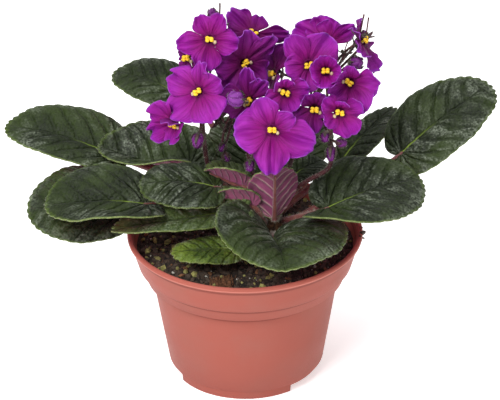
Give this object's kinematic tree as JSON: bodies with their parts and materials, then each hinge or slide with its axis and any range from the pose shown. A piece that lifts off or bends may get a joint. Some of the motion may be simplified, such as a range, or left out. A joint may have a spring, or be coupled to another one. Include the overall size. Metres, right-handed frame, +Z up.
{
  "type": "potted african violet",
  "caption": "Flowering African violet in a round tapered plastic pot: a rosette of scalloped heart-shaped leaves on long stalks under clusters of purple blooms.",
  "frame": {"origin": "middle of the pot's flat underside, which rests on the surface", "axes": "+Z up, +X to the picture's right, +Y away from the picture's camera"},
  "size_m": [0.2538, 0.1462, 0.1921],
  "materials": {
    "pot": "satin",
    "soil": "matte",
    "bark": "matte",
    "leaf": "matte",
    "petal": "satin",
    "anther": "matte",
    "stalk": "matte"
  },
  "bodies": {
    "root": {"pot": "pot", "soil": "soil", "crown": "bark", "leaf_back_left": "leaf", "leaf_left_long": "leaf", "leaf_left_folded": "leaf", "leaf_left_low": "leaf", "leaf_left_broad": "leaf", "leaf_left_upper": "leaf", "leaf_front_left": "leaf", "leaf_front_small": "leaf", "leaf_front_heart": "leaf", "leaf_right_broad": "leaf", "leaf_right_long": "leaf", "leaf_right_back": "leaf", "leaf_back_small": "leaf", "leaf_back_tall": "leaf", "leaf_back_low": "leaf", "leaf_young_left": "leaf", "leaf_young_front": "leaf", "leaf_young_right": "leaf", "bloom_top_left": "petal", "bloom_top_left_rear": "petal", "bloom_left": "petal", "bloom_left_side": "petal", "bloom_upper_middle": "petal", "bloom_top_rear": "petal", "bloom_middle": "petal", "bloom_middle_side": "petal", "bloom_front": "petal", "bloom_front_right": "petal", "bloom_right_inner": "petal", "bloom_right_low": "petal", "bloom_right": "petal", "bloom_right_cup": "petal", "bloom_upper_right": "petal", "bloom_top_right_rear": "petal", "bloom_far_right": "petal", "anthers_top_left": "anther", "anthers_top_left_rear": "anther", "anthers_left": "anther", "anthers_left_side": "anther", "anthers_upper_middle": "anther", "anthers_top_rear": "anther", "anthers_middle": "anther", "anthers_middle_side": "anther", "anthers_front": "anther", "anthers_front_right": "anther", "anthers_right_inner": "anther", "anthers_right_low": "anther", "anthers_right": "anther", "anthers_right_cup": "anther", "anthers_upper_right": "anther", "anthers_top_right_rear": "anther", "anthers_far_right": "anther", "cluster_left": "stalk", "cluster_middle": "stalk", "cluster_front": "stalk", "cluster_right": "stalk", "cluster_rear": "stalk"}
  },
  "joints": []
}
